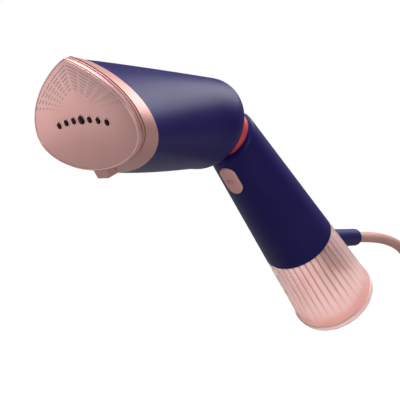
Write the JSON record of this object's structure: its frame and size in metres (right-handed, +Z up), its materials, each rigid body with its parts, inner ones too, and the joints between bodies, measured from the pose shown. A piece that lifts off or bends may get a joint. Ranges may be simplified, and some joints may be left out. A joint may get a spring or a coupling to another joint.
{
  "type": "garment steamer",
  "caption": "Handheld garment steamer: pointed steam head on a twist joint, tapered grip with a steam button, pull-off fluted water tank and coiled mains lead.",
  "frame": {"origin": "grip point on the handle's axis, below the twist joint, where a hand holds it", "axes": "+X runs from the steam face to the cord's exit, level with the head; +Z is up; +Y completes them"},
  "size_m": [0.4986, 0.1111, 0.2076],
  "materials": {
    "rose_plate": "satin anodised",
    "rose_bezel": "pearl gloss",
    "indigo_shell": "fine matt",
    "indigo_relief": "soft matt",
    "coral_ring": "gloss",
    "rose_button": "satin",
    "pink_tank": "clear tinted",
    "pink_cap": "gloss",
    "pink_cord": "matt",
    "pink_plug": "satin",
    "white_tie": "matt",
    "plug_metal": "bright plated",
    "cast_metal": "as cast",
    "steel": "bright",
    "seal_rubber": "matt",
    "inner_plastic": "matt",
    "fuse_sleeve": "glass braid",
    "board": "lacquered",
    "black_parts": "matt",
    "winding": "enamelled"
  },
  "bodies": {
    "handle": {"handle_shell": "indigo_shell", "swivel_bush": "inner_plastic", "swivel_nozzle": "inner_plastic", "tank_dock": "inner_plastic", "dock_seal": "seal_rubber", "chassis": "inner_plastic", "control_board": "board", "board_screws": "steel", "board_parts": "black_parts", "micro_switch": "black_parts", "button_spring": "steel", "pump_coil": "winding", "pump_body": "inner_plastic", "pump_spring": "steel", "delivery_hose": "seal_rubber", "suction_tube": "seal_rubber", "intake_filter": "inner_plastic", "strain_relief": "indigo_relief", "cord_end": "pink_cord", "cord_lead": "pink_cord", "cord_coil": "pink_cord", "cord_tie": "white_tie", "plug_body": "pink_plug", "plug_pins": "plug_metal"},
    "head": {"head_shell": "indigo_shell", "bezel": "rose_bezel", "soleplate": "rose_plate", "chamber_carrier": "inner_plastic", "chamber_gasket": "seal_rubber", "steam_chamber": "cast_metal", "heating_element": "steel", "thermostat": "steel", "thermal_fuse": "fuse_sleeve", "inlet_fitting": "inner_plastic", "feed_hose": "seal_rubber", "chamber_screws": "steel", "swivel_spindle": "inner_plastic", "swivel_ring": "coral_ring", "spindle_clip": "steel", "spindle_screws": "steel"},
    "button": {"steam_button": "rose_button"},
    "plunger": {"pump_plunger": "steel"},
    "tank": {"water_tank": "pink_tank", "tank_end_cap": "pink_cap"}
  },
  "joints": [
    {"name": "head_twist", "type": "hinge", "parent": "handle", "child": "head", "pos_m": [-0.04138, 0, 0.03623], "axis": [0.9361, 0, -0.3518], "range_deg": [0, 180]},
    {"name": "button_press", "type": "slide", "parent": "handle", "child": "button", "axis": [0.6587, 0, 0.7524], "range_m": [0, 0.0022], "stiffness_N_per_m": 700, "deforming": ["button_spring"]},
    {"name": "tank_pull", "type": "slide", "parent": "handle", "child": "tank", "axis": [0.7524, 0, -0.6587], "range_m": [0, 0.065]},
    {"name": "pump_stroke", "type": "slide", "parent": "handle", "child": "plunger", "axis": [-0.7524, 0, 0.6587], "range_m": [0, 0.0015], "stiffness_N_per_m": 300, "deforming": ["pump_spring"]}
  ]
}
